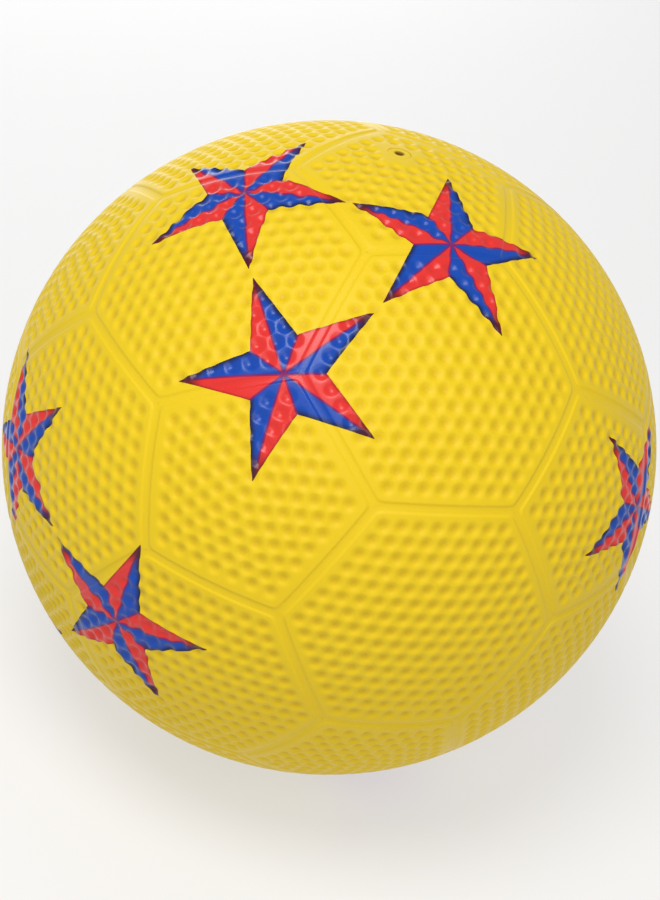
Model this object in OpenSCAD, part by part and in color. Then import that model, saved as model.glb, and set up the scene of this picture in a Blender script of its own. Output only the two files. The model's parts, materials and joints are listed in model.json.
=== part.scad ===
// Moulded rubber play ball: a cover of pentagon and hexagon panels over a wound carcass and bladder.
// The origin is the centre of the ball and +Z points out of the valve.

/* [Ball] */
// Diameter over the cover
ball_d = 220; // [180:1:270]

/* [Wall] */
// Thickness of the cover
cover_t = 1.5; // [1:0.05:2.5]
// Thickness of the rubber carcass
carcass_t = 0.4; // [0.3:0.05:1]
// Thickness of the nylon winding
winding_t = 0.25; // [0.2:0.05:0.6]
// Thickness of the bladder
bladder_t = 0.5; // [0.4:0.05:1]
// Cement film between neighbouring layers
bond_gap = 0.05; // [0.03:0.01:0.1]

/* [Panels] */
// Width of the strip that lies in the channel between two panels
strip_w = 1.4; // [1:0.1:4]
// Gap between a strip and the panel beside it
strip_gap = 0.1; // [0.05:0.05:0.4]
// Depth of the channel, from the faces of the panels to the strip
channel_depth = 0.4; // [0.2:0.05:0.8]
// Turn of the panel pattern about the centre of the panel that holds the valve, in degrees
pattern_turn = 40; // [0:1:71]
// Heading from the valve to the centre of its panel, about +Z, in degrees
pattern_heading = -64; // [-180:1:180]

/* [Valve] */
// Distance along the surface from the valve to the centre of its panel
valve_offset = 16.7; // [0:0.1:20]
// Diameter of the needle bore
needle_d = 2.4; // [1.8:0.1:3]
// Length of the needle bore's straight wall
needle_l = 12; // [6:0.5:14]
// Width of the sloped lead-in at the needle bore's mouth
mouth_w = 0.4; // [0.2:0.1:0.8]
// Rubber left under the needle bore, which the needle parts and which closes after it
core_floor_t = 3; // [2:0.5:6]
// Diameter of the valve core's shank
shank_d = 6; // [5:0.1:8]
// Diameter of the valve core's head
head_d = 7.6; // [7:0.1:9.4]
// Radial clearance of the shank in the valve boot
core_clearance = 0.05; // [0.02:0.01:0.1]
// Radial clearance of the head in the cover
head_clearance = 0.2; // [0.1:0.05:0.4]
// Wall of the valve boot's neck around the shank
neck_wall = 2; // [1.6:0.1:3]
// Room between the end of the shank and the valve boot's floor
end_room = 0.5; // [0.2:0.1:2]
// Thickness of the valve boot's floor
boot_floor_t = 1.5; // [1:0.1:3]
// Diameter of the valve boot's flange inside the bladder
flange_d = 32; // [24:1:50]
// Thickness of the valve boot's flange
flange_t = 1.2; // [0.8:0.1:2]

/* [Hidden] */
$fn = 96;

// Radii of the layers, from the cover inwards
ball_r = ball_d / 2;
cover_in_r = ball_r - cover_t;
carcass_r = cover_in_r - bond_gap;
winding_r = carcass_r - carcass_t - bond_gap;
bladder_r = winding_r - winding_t - bond_gap;
flange_r = bladder_r - bladder_t - bond_gap;

// Angles of the pattern: each panel is a pyramid of planes through the centre of the ball
golden = (1 + sqrt(5)) / 2;
pent_to_pent = atan(2);
pent_to_hex = acos(sqrt((5 + 2 * sqrt(5)) / 15));
hex_half = atan(1 / (golden * golden));
pent_half = pent_to_hex - hex_half;
edge_half = asin(1 / sqrt(9 * golden + 10));

// Distance from the plane of a joint to the panel's edge
panel_margin = strip_w / 2 + strip_gap;

// Radii of the valve's neck and of the holes round it, and heights of its faces along +Z
neck_r = shank_d / 2 + core_clearance + neck_wall;
neck_hole_r = neck_r + bond_gap;
seat_z = sqrt(cover_in_r * cover_in_r - neck_r * neck_r) - bond_gap;
head_z = seat_z + bond_gap;
mouth_z = ball_r - mouth_w;
bore_end_z = mouth_z - needle_l;
shank_end_z = bore_end_z - core_floor_t;
boot_bore_z = shank_end_z - end_room;
boot_end_z = boot_bore_z - boot_floor_t;
head_hole_r = head_d / 2 + head_clearance;

YELLOW = [0.95, 0.80, 0.10];
BLACK = [0.10, 0.10, 0.11];
GREY = [0.33, 0.33, 0.34];
CREAM = [0.88, 0.86, 0.78];

// Centres of the twelve pentagons: a pole, two rings of five and the other pole
function polar(angle, heading) = [sin(angle) * cos(heading), sin(angle) * sin(heading), cos(angle)];
PENTS = concat(
    [polar(0, 0)],
    [for (k = [0:4]) polar(pent_to_pent, 72 * k)],
    [for (k = [0:4]) polar(180 - pent_to_pent, 36 + 72 * k)],
    [polar(180, 0)]
);

// Two pentagons are neighbours when one edge of the icosahedron joins them
function near(i, j) = PENTS[i] * PENTS[j] > cos(pent_to_pent) - 0.01;
LINKS = [for (i = [0:10]) for (j = [i + 1:11]) if (near(i, j)) [i, j]];
TRIOS = [for (e = LINKS) for (k = [e[1] + 1:1:11]) if (near(e[0], k) && near(e[1], k)) [e[0], e[1], k]];

function unit(v) = v / norm(v);
function across(v, axis) = unit(v - axis * (v * axis));

// Turns +Z to an axis, with +X towards a second direction
function facing(axis, towards) =
    let (z = unit(axis), x = across(towards, z), y = cross(z, x))
    [[x.x, y.x, z.x, 0], [x.y, y.y, z.y, 0], [x.z, y.z, z.z, 0], [0, 0, 0, 1]];

function two_digits(n) = str(n < 10 ? "0" : "", n);
HEX_NAMES = [for (i = [1:20]) str("hex_panel_", two_digits(i))];
PENT_NAMES = [for (i = [1:12]) str("pent_panel_", two_digits(i))];

// Turns the panel pattern so that the valve, on +Z, sits off the centre of the first pentagon
module place_pattern() {
    rotate([0, 0, pattern_heading])
        rotate([0, valve_offset / ball_r * 180 / PI, 0])
            rotate([0, 0, pattern_turn - pattern_heading])
                children();
}

// A full sphere whose poles lie away from +Z, where a panel is cut from it
module side_on_sphere(r) {
    rotate([90, 0, 0])
        sphere(r);
}

// The space over one panel: its sides lie a margin inside the planes of the panel's joints
module panel_space(sides, half, margin) {
    translate([0, 0, margin / sin(half)])
        cylinder(h = 2 * ball_r, r1 = 0, r2 = 2 * ball_r * tan(half) / cos(180 / sides), $fn = sides);
}

// A cover panel around +Z
module panel(sides, half) {
    difference() {
        intersection() {
            side_on_sphere(ball_r);
            panel_space(sides, half, panel_margin);
        }
        side_on_sphere(cover_in_r);
    }
}

// A pentagon has its corners towards its neighbours
module pent_panel(i) {
    neighbour = [for (j = [0:11]) if (j != i && near(i, j)) j][0];
    color(YELLOW)
        difference() {
            place_pattern()
                multmatrix(facing(PENTS[i], PENTS[neighbour]))
                    panel(5, pent_half);
            if (i == 0)
                cylinder(h = 2 * ball_r, r = head_hole_r);
        }
}

// A hexagon has the middles of three edges towards its pentagons
module hex_panel(i) {
    trio = TRIOS[i];
    color(YELLOW)
        place_pattern()
            multmatrix(facing(PENTS[trio[0]] + PENTS[trio[1]] + PENTS[trio[2]], PENTS[trio[0]]))
                rotate([0, 0, 30])
                    panel(6, hex_half);
}

// One strip over +Z, along X, with pointed ends that share a corner with two others
module strip() {
    point_angle = 54;
    tip = cover_in_r * sin(edge_half) - strip_gap;
    shoulder = tip - strip_w / 2 / tan(point_angle);
    half = strip_w / 2;
    outline = [
        [tip, 0], [shoulder, half], [-shoulder, half],
        [-tip, 0], [-shoulder, -half], [shoulder, -half]
    ];
    difference() {
        intersection() {
            side_on_sphere(ball_r - channel_depth);
            linear_extrude(height = 2 * ball_r)
                polygon(outline);
        }
        side_on_sphere(cover_in_r);
    }
}

// One strip along every joint: between two hexagons, and between each hexagon and its pentagons
module seam_strips() {
    color(YELLOW)
        place_pattern() {
            for (e = LINKS)
                multmatrix(facing(PENTS[e[0]] + PENTS[e[1]], PENTS[e[0]]))
                    strip();
            for (trio = TRIOS)
                for (p = trio) {
                    hex_axis = unit(PENTS[trio[0]] + PENTS[trio[1]] + PENTS[trio[2]]);
                    side = cross(PENTS[p], hex_axis);
                    middle = PENTS[p] * cos(pent_half) + across(hex_axis, PENTS[p]) * sin(pent_half);
                    multmatrix(facing(middle, side))
                        strip();
                }
        }
}

// A closed layer of the wall with a hole for the valve boot's neck
module layer(r, t) {
    difference() {
        sphere(r);
        sphere(r - t);
        cylinder(h = 2 * ball_r, r = neck_hole_r);
    }
}

module carcass() {
    color(GREY)
        layer(carcass_r, carcass_t);
}

module winding() {
    color(CREAM)
        layer(winding_r, winding_t);
}

module bladder() {
    color(BLACK)
        layer(bladder_r, bladder_t);
}

// A flange inside the bladder, with a blind neck that holds the core
module valve_boot() {
    color(BLACK)
        difference() {
            union() {
                intersection() {
                    difference() {
                        sphere(flange_r);
                        sphere(flange_r - flange_t);
                    }
                    cylinder(h = 2 * ball_r, d = flange_d);
                }
                translate([0, 0, boot_end_z])
                    cylinder(h = seat_z - boot_end_z, r = neck_r);
            }
            translate([0, 0, boot_bore_z])
                cylinder(h = 2 * ball_r, r = shank_d / 2 + core_clearance);
        }
}

// A plug with a head flush with the cover and a blind bore for an inflating needle
module valve_core() {
    needle_r = needle_d / 2;
    color(YELLOW)
        difference() {
            union() {
                intersection() {
                    sphere(ball_r);
                    translate([0, 0, head_z])
                        cylinder(h = ball_r, d = head_d);
                }
                translate([0, 0, shank_end_z])
                    cylinder(h = head_z - shank_end_z + cover_t / 2, d = shank_d);
            }
            translate([0, 0, bore_end_z])
                cylinder(h = needle_l, r = needle_r);
            translate([0, 0, mouth_z])
                cylinder(h = 2 * mouth_w, r1 = needle_r, r2 = needle_r + 2 * mouth_w);
        }
}

bladder();
winding();
carcass();
seam_strips();
valve_boot();
valve_core();
for (i = [0:11]) pent_panel(i);
for (i = [0:19]) hex_panel(i);
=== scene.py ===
import json
import math

import bpy
import numpy as np
from mathutils import Matrix, Vector


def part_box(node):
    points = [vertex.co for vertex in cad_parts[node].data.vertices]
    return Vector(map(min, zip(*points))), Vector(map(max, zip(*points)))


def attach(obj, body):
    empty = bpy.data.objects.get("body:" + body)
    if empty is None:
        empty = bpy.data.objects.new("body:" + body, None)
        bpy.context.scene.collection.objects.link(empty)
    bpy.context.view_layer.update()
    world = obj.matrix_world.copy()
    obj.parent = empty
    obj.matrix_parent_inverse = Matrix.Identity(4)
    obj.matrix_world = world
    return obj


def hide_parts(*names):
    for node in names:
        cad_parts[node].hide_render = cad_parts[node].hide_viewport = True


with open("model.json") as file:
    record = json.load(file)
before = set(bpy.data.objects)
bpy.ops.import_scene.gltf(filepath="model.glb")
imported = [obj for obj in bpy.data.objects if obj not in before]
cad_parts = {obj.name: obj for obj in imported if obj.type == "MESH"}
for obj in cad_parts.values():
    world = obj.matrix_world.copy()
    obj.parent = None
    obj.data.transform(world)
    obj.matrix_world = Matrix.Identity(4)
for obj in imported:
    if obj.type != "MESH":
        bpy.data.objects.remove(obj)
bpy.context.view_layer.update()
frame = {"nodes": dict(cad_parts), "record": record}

MM = 0.001

# Sizes that the CAD model has too, in metres, and the two turns of its pattern
BALL_R = 110 * MM
COVER_T = 1.5 * MM
CHANNEL_DEPTH = 0.4 * MM
STRIP_W = 1.4 * MM
STRIP_GAP = 0.1 * MM
SHANK_R = 3 * MM
NECK_R = 5.05 * MM
VALVE_OFFSET = 16.7 * MM
PATTERN_TURN = math.radians(40)
PATTERN_HEADING = math.radians(-64)

# The dimples lie on rings: how many rings each panel has, how far the last one lies from the joints,
# and a dimple's radius, depth and softness of rim, which is a share of the depth
HEX_RINGS = 7
HEX_SMOOTH = 5.8 * MM
PENT_RINGS = 6
PENT_SMOOTH = 6.4 * MM
DIMPLE_R = 2.1 * MM
DIMPLE_DEPTH = 0.95 * MM
RIM_SOFTNESS = 0.3

# The valve: the smooth cover round it, the gap round its head, how far the head is set in and rounded,
# the rounded lip of the needle bore, and how far the painted shade spreads from the bore
VALVE_CLEAR_R = 7.5 * MM
HEAD_GAP = 0.05 * MM
HEAD_INSET = 0.1 * MM
HEAD_ROUND = 0.3 * MM
BORE_LIP = 0.6 * MM
BORE_SHADE_W = 0.9 * MM

# The rounded shoulder between a panel's face and the channel beside it
SHOULDER_W = 1.2 * MM
CORNER_SOFTNESS = 0.5 * MM

# The strips: how hollow their tops are, the slit beside them, and the angle and bluntness of their points
STRIP_HOLLOW = 0.05 * MM
STRIP_SLIT = 0.01 * MM
STRIP_POINT = math.radians(62)
POINT_BLUNTNESS = 0.01

# Mesh density: steps from one ring of dimples to the next, across a shoulder, along and across a strip,
# round the valve core, and round other circles
RING_STEPS = 10
SHOULDER_STEPS = 12
STRIP_STEPS = 80
STRIP_ACROSS = 9
CORE_STEPS = 72
ROUND_STEPS = 96

# Rings of a panel's inner face, as shares of the way from its middle to its rim
INNER_RINGS = (1, 0.75, 0.5, 0.25)

# The printed stars, in groups of three: latitude, longitude and the bearing of one tip, in degrees.
# The valve is the north pole. The first seven show in the photograph and the others are guessed.
STAR_PLACES = [
    (62, -147.5, -30), (66.5, -60.5, 20), (38.9, -102, -39),
    (1.9, -151.4, -37.6), (-12, -118.5, -63.5), (-38, -157, -147),
    (14.2, -20.6, -25), (44, 54, 51), (-14, 40, 154),
    (10, 136, 40), (-25, 131, 158), (-2, 103, -78),
    (-41, 16, 6), (-68, 58, 88), (-61, -32, -72),
]

# A star's radius to its tips, and where its notches lie and its ink ends at the tips, as shares of that
STAR_R = 32 * MM
NOTCH_SHARE = 0.38
TIP_END = 1.02

# How far the ink spreads past the outline, and the widths of the inks' overlap and of their darker rims
INK_SPREAD = 0.3 * MM
OVERLAP_W = 0.5 * MM
RED_RIM_W = 0.9 * MM
BLUE_RIM_W = 2.0 * MM

# Where the ink starts and stops darkening towards a tip, and how far past an edge or a tip a point still
# counts as in the star, all as shares of the star's radius
TIP_SHADE_START = 0.74
TIP_SHADE_END = 0.92
EDGE_ROOM = 0.03
TIP_ROOM = 0.02

# The photograph's frame, where the middle of the ball lies in it, and the focal length, in pixels
PHOTO_W = 660
PHOTO_H = 900
BALL_PIXEL = (329.15, 447.5)
FOCAL_PIXELS = 2166.7

# The camera's distance from the middle of the ball in metres, its angle above the floor, and its roll
CAMERA_DISTANCE = 0.7362
CAMERA_ELEVATION = math.radians(30.14)
CAMERA_ROLL = math.radians(13.44)

# Lights: name, direction from the ball in the camera's axes, distance and width in metres, watts and colour
LIGHTS = [
    ("key", (-0.05, 0.6, 0.8), 1.2, 0.6, 10.7, (1, 1, 1)),
    ("fill", (0.2, 0.05, 0.98), 1.6, 1.0, 8.2, (1, 0.92, 0.82)),
    ("back", (-0.2, 0.6, -0.78), 1.2, 0.9, 7.0, (1, 1, 1)),
]
WORLD_STRENGTH = 0.4

# The floor: radius of its flat middle and of the bend where it rises, in metres, the bend's steps, and a glow
SWEEP_R = 3.0
SWEEP_STEPS = 12
FLOOR_GLOW = 0.55

# Angles of the pattern of twelve pentagons and twenty hexagons
GOLDEN = (1 + math.sqrt(5)) / 2
PENT_TO_PENT = math.atan(2)
PENT_TO_HEX = math.acos(math.sqrt((5 + 2 * math.sqrt(5)) / 15))
HEX_HALF = math.atan(1 / GOLDEN**2)
PENT_HALF = PENT_TO_HEX - HEX_HALF
EDGE_HALF = math.asin(1 / math.sqrt(9 * GOLDEN + 10))

PANEL_MARGIN = STRIP_W / 2 + STRIP_GAP
INNER_R = BALL_R - COVER_T
UP = np.array([0.0, 0.0, 1.0])


# Directions and turns

def unit(v):
    v = np.asarray(v, float)
    return v / np.linalg.norm(v, axis=-1, keepdims=True)


def polar(angle, heading):
    """A direction at an angle from +Z, towards a heading about it."""
    s = math.sin(angle)
    return np.array([s * math.cos(heading), s * math.sin(heading), math.cos(angle)])


def about_z(angle):
    c, s = math.cos(angle), math.sin(angle)
    return np.array([[c, -s, 0], [s, c, 0], [0, 0, 1]])


def about_y(angle):
    c, s = math.cos(angle), math.sin(angle)
    return np.array([[c, 0, s], [0, 1, 0], [-s, 0, c]])


def full_turn(steps):
    """Angles evenly round a circle."""
    return np.linspace(0, 2 * math.pi, steps, endpoint=False)


def facing(axis, towards):
    """The turn that takes +Z to an axis, with +X towards a second direction."""
    z = unit(axis)
    x = unit(towards - z * np.dot(towards, z))
    return np.stack([x, np.cross(z, x), z], axis=1)


# The pattern, as in the CAD model: a pole, two rings of five and the other pole

TENTH = math.radians(36)
PLACE = about_z(PATTERN_HEADING) @ about_y(VALVE_OFFSET / BALL_R) @ about_z(PATTERN_TURN - PATTERN_HEADING)
PENTS = [polar(0, 0)]
PENTS += [polar(PENT_TO_PENT, 2 * TENTH * k) for k in range(5)]
PENTS += [polar(math.pi - PENT_TO_PENT, TENTH + 2 * TENTH * k) for k in range(5)]
PENTS += [polar(math.pi, 0)]
PENTS = [PLACE @ p for p in PENTS]


def near(i, j):
    """Whether two pentagons are neighbours, with a little room for rounding."""
    return i != j and PENTS[i] @ PENTS[j] > math.cos(PENT_TO_PENT) - 0.01


LINKS = [(i, j) for i in range(12) for j in range(i + 1, 12) if near(i, j)]
TRIOS = [(i, j, k) for i, j in LINKS for k in range(j + 1, 12) if near(i, k) and near(j, k)]


# Mesh building

def outward(points, triangles):
    """The triangles of a closed solid, turned so that they face out."""
    a, b, c = points[triangles].transpose(1, 0, 2)
    volume = np.einsum("ij,ij->", a - points.mean(0), np.cross(b - points.mean(0), c - points.mean(0)))
    return triangles if volume > 0 else triangles[:, ::-1]


def band(rings, size):
    """The triangles between rings of size points each, numbered ring by ring."""
    index = np.arange(rings * size).reshape(rings, size)
    beside = np.roll(index, -1, axis=1)
    first = np.stack([index[:-1], beside[:-1], beside[1:]], axis=-1)
    second = np.stack([index[:-1], beside[1:], index[1:]], axis=-1)
    return np.concatenate([first.reshape(-1, 3), second.reshape(-1, 3)])


def fan(ring, size, middle):
    """The triangles from a ring of points to a middle point, by the number of the ring's first point."""
    step = np.arange(size)
    return np.stack([ring + step, ring + (step + 1) % size, np.full(size, middle)], axis=1)


def loft(rings):
    """A closed solid over rings of points, rings[m, k], with both ends closed."""
    count, size = rings.shape[:2]
    last = count * size
    ends = [fan(0, size, last)[:, ::-1], fan(last - size, size, last + 1)]
    points = np.concatenate([rings.reshape(-1, 3), [rings[0].mean(0), rings[-1].mean(0)]])
    return points, outward(points, np.concatenate([band(count, size)] + ends))


def joined(solids):
    """Several solids as one list of points and one of triangles."""
    starts = np.cumsum([0] + [len(points) for points, _ in solids])
    points = np.concatenate([points for points, _ in solids])
    return points, np.concatenate([t + start for (_, t), start in zip(solids, starts)])


def make_object(name, points, triangles, material):
    mesh = bpy.data.meshes.new(name)
    mesh.vertices.add(len(points))
    mesh.vertices.foreach_set("co", np.ascontiguousarray(points, np.float32).ravel())
    mesh.loops.add(triangles.size)
    mesh.loops.foreach_set("vertex_index", np.ascontiguousarray(triangles, np.int32).ravel())
    mesh.polygons.add(len(triangles))
    mesh.polygons.foreach_set("loop_start", np.arange(0, triangles.size, 3, dtype=np.int32))
    mesh.update(calc_edges=True)
    mesh.materials.append(material)
    obj = bpy.data.objects.new(name, mesh)
    bpy.context.scene.collection.objects.link(obj)
    return obj


def smooth(obj, sharp_degrees=50):
    obj.data.shade_smooth()
    obj.data.set_sharp_from_angle(angle=math.radians(sharp_degrees))


def stand_for(obj, node, body):
    """A piece that takes a CAD node's place and moves with its body."""
    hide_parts(node)
    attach(obj, body)


# Printed stars

def on_globe(latitude, longitude):
    return polar(math.radians(90 - latitude), math.radians(longitude))


def heading_at(p, bearing):
    """The direction along the surface at p, clockwise from the valve as seen from outside."""
    north = unit(UP - p * p[2])
    east = np.cross(north, p)
    return math.cos(bearing) * north + math.sin(bearing) * east


STAR_CENTRES = np.array([on_globe(latitude, longitude) for latitude, longitude, _ in STAR_PLACES])
STAR_TIPS = np.array([heading_at(c, math.radians(b)) for c, (_, _, b) in zip(STAR_CENTRES, STAR_PLACES)])


# Outward normal of the line from a star's tip, at (1, 0), to the notch beside it
STAR_EDGE = unit([NOTCH_SHARE * math.sin(TENTH), 1 - NOTCH_SHARE * math.cos(TENTH)])


def print_stars(obj):
    """Gives each point its place in the nearest star: x to the right, y to a tip at 1, and z 1 outside it."""
    mesh = obj.data
    points = np.empty(len(mesh.vertices) * 3, np.float32)
    mesh.vertices.foreach_get("co", points)
    p = unit(points.reshape(-1, 3))
    nearest = np.argmax(p @ STAR_CENTRES.T, axis=1)
    centre, tip = STAR_CENTRES[nearest], STAR_TIPS[nearest]
    bearing = np.arctan2((p * np.cross(tip, centre)).sum(1), (p * tip).sum(1))
    r = np.arccos(np.clip((p * centre).sum(1), -1, 1)) * BALL_R / STAR_R
    turn = np.abs((bearing + TENTH) % (2 * TENTH) - TENTH)
    edge = (r * np.cos(turn) - 1) * STAR_EDGE[0] + r * np.sin(turn) * STAR_EDGE[1]
    outside = (edge > EDGE_ROOM) | (r > TIP_END + TIP_ROOM)
    place = np.stack([r * np.sin(bearing), r * np.cos(bearing), outside], axis=1).astype(np.float32)
    mesh.attributes.new("star", "FLOAT_VECTOR", "POINT").data.foreach_set("vector", place.ravel())


# Materials

def new_material(name):
    material = bpy.data.materials.new(name)
    material.use_nodes = True
    tree = material.node_tree
    return material, tree, tree.nodes["Principled BSDF"]


def feed(tree, socket, value):
    if isinstance(value, bpy.types.NodeSocket):
        tree.links.new(value, socket)
    else:
        socket.default_value = value


def math_node(tree, operation, *values):
    node = tree.nodes.new("ShaderNodeMath")
    node.operation = operation
    for socket, value in zip(node.inputs, values):
        feed(tree, socket, value)
    return node.outputs[0]


def off_centre(tree, x, y):
    """The distance of (x, y) from (0, 0)."""
    squares = math_node(tree, "ADD", math_node(tree, "MULTIPLY", x, x), math_node(tree, "MULTIPLY", y, y))
    return math_node(tree, "SQRT", squares)


def mix_colour(tree, factor, a, b):
    node = tree.nodes.new("ShaderNodeMix")
    node.data_type = "RGBA"
    feed(tree, node.inputs["Factor"], factor)
    feed(tree, node.inputs["A"], a)
    feed(tree, node.inputs["B"], b)
    return node.outputs["Result"]


def ramp(tree, value, low, high, to_low=0.0, to_high=1.0):
    """A smooth step of a value from low to high."""
    node = tree.nodes.new("ShaderNodeMapRange")
    node.interpolation_type = "SMOOTHSTEP"
    names = ("Value", "From Min", "From Max", "To Min", "To Max")
    for name, part in zip(names, (value, low, high, to_low, to_high)):
        feed(tree, node.inputs[name], part)
    return node.outputs["Result"]


def noise(tree, per_metre, detail=4.0):
    """Noise over the object's own coordinates, so that it stays on the piece."""
    place = tree.nodes.new("ShaderNodeTexCoord")
    node = tree.nodes.new("ShaderNodeTexNoise")
    tree.links.new(place.outputs["Object"], node.inputs["Vector"])
    node.inputs["Scale"].default_value = per_metre
    node.inputs["Detail"].default_value = detail
    return node.outputs["Fac"]


def varied(tree, per_metre, low=0.0, high=1.0):
    """A value from low to high that varies over the piece; the noise itself lies mostly from 0.3 to 0.7."""
    return ramp(tree, noise(tree, per_metre), 0.3, 0.7, low, high)


def bump(tree, shader, height, depth, strength):
    node = tree.nodes.new("ShaderNodeBump")
    node.inputs["Strength"].default_value = strength
    node.inputs["Distance"].default_value = depth
    tree.links.new(height, node.inputs["Height"])
    tree.links.new(node.outputs["Normal"], shader.inputs["Normal"])


# Colours, in linear light
YELLOW = (0.60, 0.42, 0.002, 1)
PALE_YELLOW = (0.61, 0.44, 0.006, 1)
# The darker yellow of the painted shade in the dimples
PAINTED_SHADE_YELLOW = (0.42, 0.25, 0.0, 1)
RED = (0.55, 0.024, 0.020, 1)
BLUE = (0.003, 0.047, 0.31, 1)
PLUM = (0.10, 0.006, 0.09, 1)
DARK_RED = (0.20, 0.006, 0.008, 1)
NAVY = (0.006, 0.007, 0.03, 1)
MAROON = (0.05, 0.004, 0.006, 1)
# The brown of the painted shade in the needle bore
BORE_SHADE_BROWN = (0.16, 0.085, 0.003, 1)
BLACK = (0.014, 0.014, 0.015, 1)
SOFT_BLACK = (0.035, 0.034, 0.034, 1)
CHARCOAL = (0.06, 0.06, 0.062, 1)
GREY = (0.11, 0.11, 0.112, 1)
LATEX = (0.42, 0.38, 0.28, 1)
NYLON = (0.78, 0.75, 0.66, 1)
FLOOR_GREY = (0.28, 0.28, 0.28, 1)
WHITE = (1, 1, 1, 1)

# The share of a dimple's depth where its painted shade starts, how strongly that painted shade shows, and how
# strongly the print's darker shades show
DIMPLE_SHADE_START = 0.45
DIMPLE_SHADE_STRENGTH = 0.35
RED_RIM_SHADE = 0.7
BLUE_RIM_SHADE = 0.95
OVERLAP_SHADE = 0.75
TIP_SHADE = 0.85

# The yellow rubber's roughness, how much smoother the ink is, and how finely colour, wear and grain vary
YELLOW_ROUGHNESS = (0.52, 0.6)
INK_GLOSS = 0.26
MOTTLE_PER_METRE = 40
WEAR_PER_METRE = 120
GRAIN_PER_METRE = 2500

# Depth of the fine relief on the yellow rubber, the matt rubber and the winding
YELLOW_GRAIN = 0.02 * MM
MATT_GRAIN = 0.05 * MM
THREAD_RELIEF = 0.15 * MM


def star_masks(tree):
    """Masks from a point's place in its star: the ink, the clockwise halves of the arms, the overlap of the
    two inks, the red and the blue ink's rims, and the tips."""
    place = tree.nodes.new("ShaderNodeAttribute")
    place.attribute_name = "star"
    parts = tree.nodes.new("ShaderNodeSeparateXYZ")
    tree.links.new(place.outputs["Vector"], parts.inputs[0])
    x, y = parts.outputs["X"], parts.outputs["Y"]
    r = off_centre(tree, x, y)
    fifths = math_node(tree, "DIVIDE", math_node(tree, "ARCTAN2", x, y), 2 * TENTH)
    fold = math_node(tree, "SUBTRACT", fifths, math_node(tree, "ROUND", fifths))
    turn = math_node(tree, "MULTIPLY", math_node(tree, "ABSOLUTE", fold), 2 * TENTH)
    turn_back = math_node(tree, "SUBTRACT", TENTH, turn)
    along = math_node(tree, "MULTIPLY", r, math_node(tree, "COSINE", turn))
    off_ridge = math_node(tree, "MULTIPLY", r, math_node(tree, "SINE", turn))
    off_valley = math_node(tree, "MULTIPLY", r, math_node(tree, "SINE", turn_back))
    reach = math_node(tree, "MULTIPLY", math_node(tree, "SUBTRACT", along, 1.0), float(STAR_EDGE[0]))
    edge = math_node(tree, "ADD", reach, math_node(tree, "MULTIPLY", off_ridge, float(STAR_EDGE[1])))
    spread = INK_SPREAD / STAR_R
    overlap_w = OVERLAP_W / STAR_R
    inside = math_node(tree, "LESS_THAN", edge, spread)
    before_end = math_node(tree, "LESS_THAN", r, TIP_END)
    near_star = math_node(tree, "LESS_THAN", parts.outputs["Z"], 0.5)
    ink = math_node(tree, "MULTIPLY", math_node(tree, "MULTIPLY", inside, before_end), near_star)
    clockwise = math_node(tree, "GREATER_THAN", fold, 0.0)
    overlap = ramp(tree, math_node(tree, "MINIMUM", off_ridge, off_valley), overlap_w, 0.5 * overlap_w)
    red_rim = ramp(tree, edge, spread - RED_RIM_W / STAR_R, spread)
    blue_rim = ramp(tree, edge, spread - BLUE_RIM_W / STAR_R, spread)
    tips = ramp(tree, along, TIP_SHADE_START, TIP_SHADE_END)
    return ink, clockwise, overlap, red_rim, blue_rim, tips


def painted_dimple_shade(tree):
    """How far a point lies down in a dimple, as the mask of the painted shade in the dimples."""
    place = tree.nodes.new("ShaderNodeTexCoord")
    length = tree.nodes.new("ShaderNodeVectorMath")
    length.operation = "LENGTH"
    tree.links.new(place.outputs["Object"], length.inputs[0])
    return ramp(tree, length.outputs["Value"], BALL_R - DIMPLE_SHADE_START * DIMPLE_DEPTH, BALL_R - DIMPLE_DEPTH)


def yellow_rubber(tree, shader):
    """Gives a shader the grain of the yellow rubber, and returns the rubber's colour and roughness."""
    shader.inputs["Specular IOR Level"].default_value = 0.25
    bump(tree, shader, noise(tree, GRAIN_PER_METRE, 2.0), YELLOW_GRAIN, 0.5)
    yellow = mix_colour(tree, noise(tree, MOTTLE_PER_METRE), YELLOW, PALE_YELLOW)
    return yellow, varied(tree, WEAR_PER_METRE, *YELLOW_ROUGHNESS)


def shaded(tree, mask, strength, colour, shade):
    """A colour with a darker shade of it over a mask."""
    return mix_colour(tree, math_node(tree, "MULTIPLY", mask, strength), colour, shade)


def cover_material():
    """Semi-gloss yellow rubber with painted shade in its dimples, and the two-colour stars printed on it."""
    material, tree, shader = new_material("cover_rubber")
    ink, clockwise, overlap, red_rim, blue_rim, tips = star_masks(tree)
    yellow, worn = yellow_rubber(tree, shader)
    # Painted shade: the yellow darkens down in the dimples, standing in for the shade that falls there
    yellow = shaded(tree, painted_dimple_shade(tree), DIMPLE_SHADE_STRENGTH, yellow, PAINTED_SHADE_YELLOW)
    red = shaded(tree, red_rim, RED_RIM_SHADE, RED, DARK_RED)
    blue = shaded(tree, blue_rim, BLUE_RIM_SHADE, BLUE, NAVY)
    inks = mix_colour(tree, clockwise, red, blue)
    inks = shaded(tree, overlap, OVERLAP_SHADE, inks, PLUM)
    inks = shaded(tree, tips, TIP_SHADE, inks, MAROON)
    tree.links.new(mix_colour(tree, ink, yellow, inks), shader.inputs["Base Color"])
    rough = math_node(tree, "SUBTRACT", worn, math_node(tree, "MULTIPLY", ink, INK_GLOSS))
    tree.links.new(rough, shader.inputs["Roughness"])
    shader.inputs["Sheen Weight"].default_value = 0.2
    shader.inputs["Sheen Roughness"].default_value = 0.3
    return material


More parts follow.
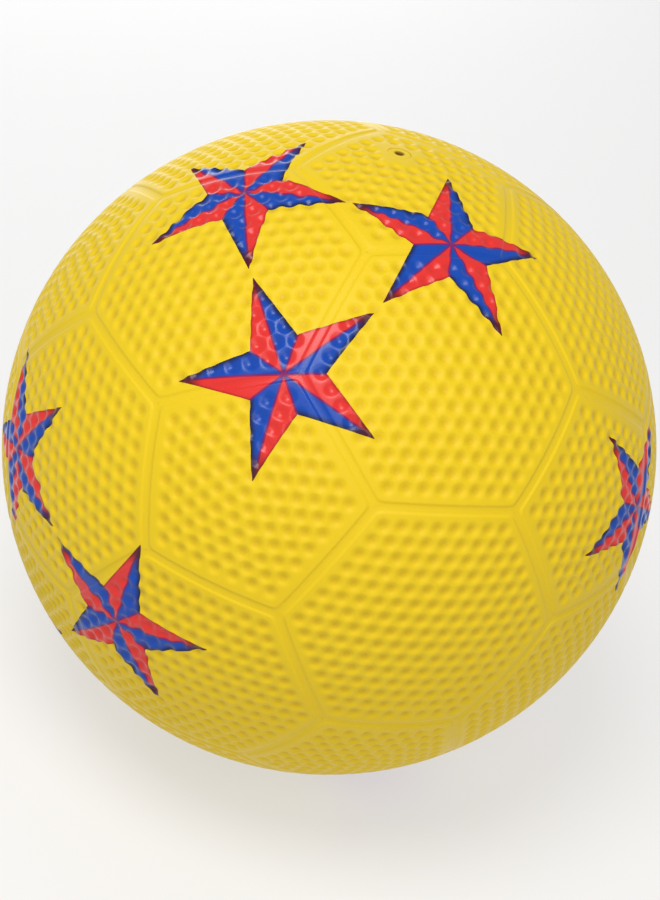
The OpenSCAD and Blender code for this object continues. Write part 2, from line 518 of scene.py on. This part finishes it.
def core_material(needle_r):
    """The cover's yellow rubber, with painted shade down the needle bore and round its lip."""
    material, tree, shader = new_material("core_rubber")
    place = tree.nodes.new("ShaderNodeTexCoord")
    parts = tree.nodes.new("ShaderNodeSeparateXYZ")
    tree.links.new(place.outputs["Object"], parts.inputs[0])
    off_axis = off_centre(tree, parts.outputs["X"], parts.outputs["Y"])
    # Painted shade: brown down the needle bore and round its lip, standing in for the shade in the hole
    bore_shade_mask = ramp(tree, off_axis, needle_r + BORE_SHADE_W, needle_r)
    yellow, worn = yellow_rubber(tree, shader)
    tree.links.new(mix_colour(tree, bore_shade_mask, yellow, BORE_SHADE_BROWN), shader.inputs["Base Color"])
    tree.links.new(worn, shader.inputs["Roughness"])
    return material


def plain_rubber(name, colour, lighter, rough, grain_per_metre):
    """Matt rubber with a mottled colour and a fine grain."""
    material, tree, shader = new_material(name)
    tree.links.new(mix_colour(tree, varied(tree, 60), colour, lighter), shader.inputs["Base Color"])
    tree.links.new(varied(tree, 150, rough - 0.06, rough + 0.06), shader.inputs["Roughness"])
    bump(tree, shader, noise(tree, grain_per_metre), MATT_GRAIN, 0.6)
    return material


def winding_material():
    """Nylon thread wound many ways round, set in latex."""
    material, tree, shader = new_material("wound_nylon")
    place = tree.nodes.new("ShaderNodeTexCoord")
    threads = None
    for tilt in (0.0, 0.9, 2.1):
        turned = tree.nodes.new("ShaderNodeMapping")
        turned.inputs["Rotation"].default_value = (tilt, 0.7 * tilt, 0)
        tree.links.new(place.outputs["Object"], turned.inputs["Vector"])
        wave = tree.nodes.new("ShaderNodeTexWave")
        wave.inputs["Scale"].default_value = 250
        wave.inputs["Distortion"].default_value = 1.5
        tree.links.new(turned.outputs["Vector"], wave.inputs["Vector"])
        thread = wave.outputs["Fac"]
        threads = math_node(tree, "MAXIMUM", threads, thread) if threads else thread
    tree.links.new(mix_colour(tree, threads, LATEX, NYLON), shader.inputs["Base Color"])
    shader.inputs["Roughness"].default_value = 0.55
    bump(tree, shader, threads, THREAD_RELIEF, 0.8)
    return material


# Panels

def ring_start(sides, ring):
    """Index of a ring's first point: a middle point comes first, then rings of sides times their number."""
    return 1 + sides * ring * (ring - 1) // 2 if ring else 0


def ring_directions(sides, turn, angles):
    """Directions on rings about +Z, where angles are the rings' distances along the middles of the sides."""
    rings = [UP[None]]
    for ring, angle in enumerate(angles[1:], start=1):
        step = np.arange(sides * ring)
        middle = turn + (step // ring + 0.5) * 2 * math.pi / sides
        swing = (2 * (step % ring) / ring - 1) * math.atan(math.sin(angle) * math.tan(math.pi / sides))
        zero = np.zeros_like(middle)
        ahead = np.stack([np.cos(middle), np.sin(middle), zero], axis=1)
        beside = np.stack([-np.sin(middle), np.cos(middle), zero], axis=1)
        foot = math.cos(angle) * UP + math.sin(angle) * ahead
        rings.append(np.cos(swing)[:, None] * foot + np.sin(swing)[:, None] * beside)
    return np.concatenate(rings)


def ring_triangles(sides, rings):
    triangles = []
    for ring in range(1, rings + 1):
        step = np.arange(sides * ring)
        inner_count = max(sides * (ring - 1), 1)
        outer = ring_start(sides, ring) + step
        outer_next = ring_start(sides, ring) + (step + 1) % (sides * ring)
        place = step // ring * (ring - 1) + step % ring
        inner = ring_start(sides, ring - 1) + place % inner_count
        inner_next = ring_start(sides, ring - 1) + (place + 1) % inner_count
        triangles.append(np.stack([outer, outer_next, inner], axis=1))
        triangles.append(np.stack([inner, outer_next, inner_next], axis=1)[step % ring < ring - 1])
    return np.concatenate(triangles)


def side_distances(p, sides, half, turn):
    """Distances of surface points from the planes of a panel's joints, one column for each side."""
    middle = turn + (np.arange(sides) + 0.5) * 2 * math.pi / sides
    ahead = np.stack([np.cos(middle), np.sin(middle), np.zeros(sides)], axis=1)
    inward = math.sin(half) * UP - math.cos(half) * ahead
    return BALL_R * p @ inward.T


def fall(share):
    """A smooth fall from 1 to 0 as share goes from 0 to 1."""
    return 0.5 + 0.5 * np.cos(math.pi * np.clip(share, 0, 1))


def panel_solid(sides, half, turn, dimple_rings, smooth_w, valve=None):
    """A dimpled panel about +Z, closed by its edge and inner face, and smooth round a valve's direction."""
    ring = (half - smooth_w / BALL_R) / dimple_rings
    dimples = ring_directions(sides, turn, np.arange(dimple_rings + 1) * ring)
    edge = half - PANEL_MARGIN / (BALL_R - CHANNEL_DEPTH)
    shoulder = edge - SHOULDER_W / BALL_R
    field = np.arange(math.ceil(shoulder / ring * RING_STEPS)) * ring / RING_STEPS
    angles = np.concatenate([field, np.linspace(shoulder, edge, SHOULDER_STEPS + 1)])
    rings = len(angles) - 1
    p = ring_directions(sides, turn, angles)
    if valve is not None:
        dimples = dimples[np.arccos(dimples @ valve) * BALL_R > VALVE_CLEAR_R]
    away = np.arccos(np.clip((p @ dimples.T).max(1), -1, 1)) * BALL_R / DIMPLE_R
    depth = DIMPLE_DEPTH * RIM_SOFTNESS * np.logaddexp(0, (1 - away**2) / RIM_SOFTNESS)
    to_sides = side_distances(p, sides, half, turn) - PANEL_MARGIN
    to_edge = -CORNER_SOFTNESS * np.log(np.exp(-to_sides / CORNER_SOFTNESS).sum(1))
    depth += CHANNEL_DEPTH * fall(to_edge / SHOULDER_W)
    face = p * (BALL_R - depth)[:, None]
    rim = p[-sides * rings:]
    inner = np.stack([unit(rim * share + UP * (1 - share)) * INNER_R for share in INNER_RINGS])
    count = len(rim)
    start = len(p) - count
    last = len(p) + inner.size // 3
    back = [start + band(len(inner) + 1, count), fan(last - count, count, last)]
    points = np.concatenate([face, inner.reshape(-1, 3), UP[None] * INNER_R])
    return points, np.concatenate([ring_triangles(sides, rings)] + [t[:, ::-1] for t in back])


def cut_hole(obj, radius):
    """Cuts a round hole along +Z through a piece of the cover, from well below it to well above it."""
    turn = full_turn(ROUND_STEPS)
    circle = np.stack([radius * np.cos(turn), radius * np.sin(turn), 0 * turn], axis=1)
    points, triangles = loft(np.stack([circle + UP * 0.9 * BALL_R, circle + UP * 1.1 * BALL_R]))
    cutter = make_object("cutter", points, triangles, obj.data.materials[0])
    modifier = obj.modifiers.new("hole", "BOOLEAN")
    modifier.operation = "DIFFERENCE"
    modifier.solver = "EXACT"
    modifier.object = cutter
    bpy.context.view_layer.update()
    cut = bpy.data.meshes.new_from_object(obj.evaluated_get(bpy.context.evaluated_depsgraph_get()))
    obj.modifiers.clear()
    obj.data = cut
    bpy.data.objects.remove(cutter)


def make_panel(node, solid, turn, material, hole_r=None):
    points, triangles = solid
    obj = make_object(node + "_cover", points @ turn.T, triangles, material)
    if hole_r:
        cut_hole(obj, hole_r)
    smooth(obj)
    print_stars(obj)
    stand_for(obj, node, "ball")


def make_panels(material, head_r):
    hexagon = panel_solid(6, HEX_HALF, -math.pi / 6, HEX_RINGS, HEX_SMOOTH)
    for i, trio in enumerate(TRIOS):
        turn = facing(sum(PENTS[p] for p in trio), PENTS[trio[0]])
        make_panel(f"hex_panel_{i + 1:02d}", hexagon, turn, material)
    pentagon = panel_solid(5, PENT_HALF, 0, PENT_RINGS, PENT_SMOOTH)
    for i, axis in enumerate(PENTS):
        turn = facing(axis, next(PENTS[j] for j in range(12) if near(i, j)))
        if i == 0:
            with_valve = panel_solid(5, PENT_HALF, 0, PENT_RINGS, PENT_SMOOTH, UP @ turn)
            make_panel("pent_panel_01", with_valve, turn, material, head_r + HEAD_GAP)
        else:
            make_panel(f"pent_panel_{i + 1:02d}", pentagon, turn, material)


# Seam strips

def strip_solid():
    """One strip over +Z, along X, slightly hollow on top, with pointed ends."""
    tip = EDGE_HALF + STRIP_GAP / BALL_R
    half = (PANEL_MARGIN - STRIP_SLIT) / BALL_R
    body = tip - half / math.tan(STRIP_POINT)
    along = np.concatenate([[-tip], np.linspace(-body, body, STRIP_STEPS), [tip]])
    stations = len(along)
    across = np.linspace(-1, 1, STRIP_ACROSS)
    top_r = BALL_R - CHANNEL_DEPTH - STRIP_HOLLOW * (1 - across**2)
    width = np.full(stations, half)
    width[[0, -1]] = POINT_BLUNTNESS * half
    beside = np.concatenate([across, [1, -1]])
    radius = np.concatenate([top_r, [INNER_R, INNER_R]])
    spine = np.stack([np.sin(along), np.zeros(stations), np.cos(along)], axis=1)
    swing = width[:, None] * beside[None]
    rings = np.cos(swing)[..., None] * spine[:, None] + np.sin(swing)[..., None] * np.array([0, 1.0, 0])
    return loft(rings * radius[None, :, None])


def strip_turns():
    """One turn for each joint: between two hexagons, and between each hexagon and its pentagons."""
    turns = [facing(PENTS[i] + PENTS[j], PENTS[i]) for i, j in LINKS]
    for trio in TRIOS:
        hex_axis = unit(sum(PENTS[p] for p in trio))
        for p in trio:
            outwards = unit(hex_axis - PENTS[p] * np.dot(hex_axis, PENTS[p]))
            middle = PENTS[p] * math.cos(PENT_HALF) + outwards * math.sin(PENT_HALF)
            turns.append(facing(middle, np.cross(PENTS[p], hex_axis)))
    return turns


def make_strips(material):
    points, triangles = strip_solid()
    strips = joined([(points @ turn.T, triangles) for turn in strip_turns()])
    obj = make_object("seam_strips_moulded", *strips, material)
    smooth(obj)
    print_stars(obj)
    stand_for(obj, "seam_strips", "ball")


# Valve core

def arc(middle, radius, start, end, steps=8):
    """Points of an arc as (distance from the axis, height); angles in degrees from outwards to upwards."""
    turns = np.radians(np.linspace(start, end, steps))
    return [(middle[0] + radius * math.cos(t), middle[1] + radius * math.sin(t)) for t in turns]


def make_valve_core():
    """The valve core, turned about +Z from its profile; returns the radius of its head."""
    low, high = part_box("valve_core")
    bore = next(m for m in frame["record"]["mounts"] if m["name"] == "needle_bore")
    needle_r = bore["dims"]["r_mm"] * MM
    bore_end = bore["pos_m"][2] - bore["dims"]["length_mm"] * MM / 2
    head_r = high.x
    seat = math.sqrt(INNER_R**2 - NECK_R**2)
    top = BALL_R - HEAD_INSET
    profile = [(needle_r, bore_end)]
    profile += arc((needle_r + BORE_LIP, top - BORE_LIP), BORE_LIP, 180, 90)
    profile += arc((head_r - HEAD_ROUND, top - HEAD_ROUND), HEAD_ROUND, 90, 0)
    profile += [(head_r, seat), (SHANK_R, seat), (SHANK_R, low.z + HEAD_ROUND), (SHANK_R - HEAD_ROUND, low.z)]
    profile = np.array(profile)
    turn = full_turn(CORE_STEPS)
    rings = np.stack([
        profile[:, :1] * np.cos(turn),
        profile[:, :1] * np.sin(turn),
        np.repeat(profile[:, 1:], len(turn), axis=1),
    ], axis=-1)
    obj = make_object("valve_core_plug", *loft(rings), core_material(needle_r))
    smooth(obj, sharp_degrees=35)
    stand_for(obj, "valve_core", "valve_core")
    return head_r


def finish_inner_pieces():
    """The layers under the cover keep their CAD shapes and get their own finish."""
    finishes = {
        "bladder": plain_rubber("butyl_rubber", BLACK, SOFT_BLACK, rough=0.6, grain_per_metre=1800),
        "valve_boot": plain_rubber("boot_rubber", BLACK, SOFT_BLACK, rough=0.5, grain_per_metre=1500),
        "carcass": plain_rubber("carcass_rubber", CHARCOAL, GREY, rough=0.7, grain_per_metre=900),
        "winding": winding_material(),
    }
    for node, material in finishes.items():
        mesh = frame["nodes"][node].data
        mesh.materials.clear()
        mesh.materials.append(material)


# Camera, light and floor

def camera_axes():
    """The camera's right, up and back directions as columns."""
    back = np.array([0, -math.cos(CAMERA_ELEVATION), math.sin(CAMERA_ELEVATION)])
    level = np.array([1.0, 0, 0])
    above = np.cross(back, level)
    right = math.cos(CAMERA_ROLL) * level + math.sin(CAMERA_ROLL) * above
    return np.stack([right, np.cross(back, right), back], axis=1)


def make_camera(axes):
    data = bpy.data.cameras.new("camera")
    data.sensor_width = 36
    data.lens = FOCAL_PIXELS * data.sensor_width / PHOTO_H
    data.shift_x = (PHOTO_W / 2 - BALL_PIXEL[0]) / PHOTO_H
    data.shift_y = (BALL_PIXEL[1] - PHOTO_H / 2) / PHOTO_H
    camera = bpy.data.objects.new("camera", data)
    camera.matrix_world = Matrix.Translation(axes[:, 2] * CAMERA_DISTANCE) @ Matrix(axes.tolist()).to_4x4()
    bpy.context.scene.collection.objects.link(camera)
    bpy.context.scene.camera = camera


def make_light(name, direction, distance, size, watts, colour):
    data = bpy.data.lights.new(name, "AREA")
    data.shape = "DISK"
    data.size = size
    data.energy = watts
    data.color = colour
    light = bpy.data.objects.new(name, data)
    light.location = Vector(unit(direction) * distance)
    light.rotation_euler = (-light.location).to_track_quat("-Z", "Y").to_euler()
    bpy.context.scene.collection.objects.link(light)


def make_world(strength):
    world = bpy.data.worlds.new("studio")
    world.use_nodes = True
    world.node_tree.nodes["Background"].inputs["Color"].default_value = WHITE
    world.node_tree.nodes["Background"].inputs["Strength"].default_value = strength
    bpy.context.scene.world = world


def make_floor():
    """A pale round sweep: flat under the ball, and rising all round."""
    material, _, shader = new_material("pale_floor")
    shader.inputs["Base Color"].default_value = FLOOR_GREY
    shader.inputs["Roughness"].default_value = 0.8
    shader.inputs["Emission Color"].default_value = WHITE
    shader.inputs["Emission Strength"].default_value = FLOOR_GLOW
    bend = np.radians(np.linspace(-90, 0, SWEEP_STEPS + 1))[:, None]
    turn = full_turn(ROUND_STEPS)
    radius = SWEEP_R * (1 + np.cos(bend))
    height = SWEEP_R * (1 + np.sin(bend))
    rings = np.stack([radius * np.cos(turn), radius * np.sin(turn), height + 0 * turn], axis=-1)
    points = np.concatenate([rings.reshape(-1, 3), np.zeros((1, 3))]) - UP * BALL_R
    triangles = np.concatenate([band(len(bend), len(turn)), fan(0, len(turn), len(points) - 1)])
    floor = make_object("floor", points, triangles, material)
    smooth(floor)


axes = camera_axes()
make_camera(axes)
for light_name, direction, *settings in LIGHTS:
    make_light(light_name, axes @ direction, *settings)
make_world(WORLD_STRENGTH)
make_floor()
bpy.context.scene.view_settings.view_transform = "Standard"

cover = cover_material()
valve_head_r = make_valve_core()
make_panels(cover, valve_head_r)
make_strips(cover)
finish_inner_pieces()
